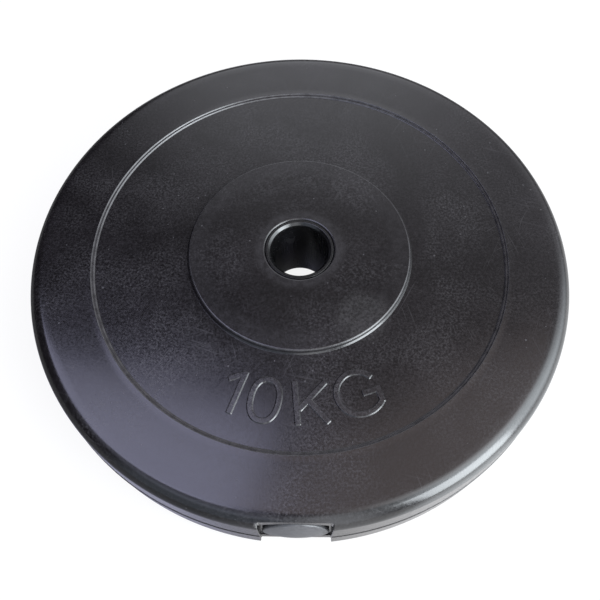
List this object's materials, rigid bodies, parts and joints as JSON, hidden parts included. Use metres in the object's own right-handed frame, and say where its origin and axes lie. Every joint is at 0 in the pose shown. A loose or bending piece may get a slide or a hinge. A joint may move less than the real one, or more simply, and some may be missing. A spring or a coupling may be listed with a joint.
{
  "type": "plastic weight plate",
  "caption": "Round moulded plastic weight plate with a heavy fill, a sleeved centre bore and a filler plug in a rim notch.",
  "frame": {"origin": "centre of the lower hub face on the bore's axis, which is the bottom centre of the plate as it lies flat on a floor", "axes": "+Z along the bore's axis, up from the floor; -Y towards the filler notch in the rim; +X towards the right as seen from the notch's side. Both faces of the plate are the same."},
  "size_m": [0.2936, 0.2925, 0.0505],
  "materials": {
    "shell_plastic": "satin moulded black with a fine grain",
    "fill_concrete": "cast, rough",
    "sleeve_plastic": "smooth moulded black",
    "plug_plastic": "smooth moulded dark grey"
  },
  "bodies": {
    "root": {"outer_shell": "shell_plastic", "weight_fill": "fill_concrete", "bore_sleeve": "sleeve_plastic", "filler_plug": "plug_plastic"}
  },
  "joints": []
}
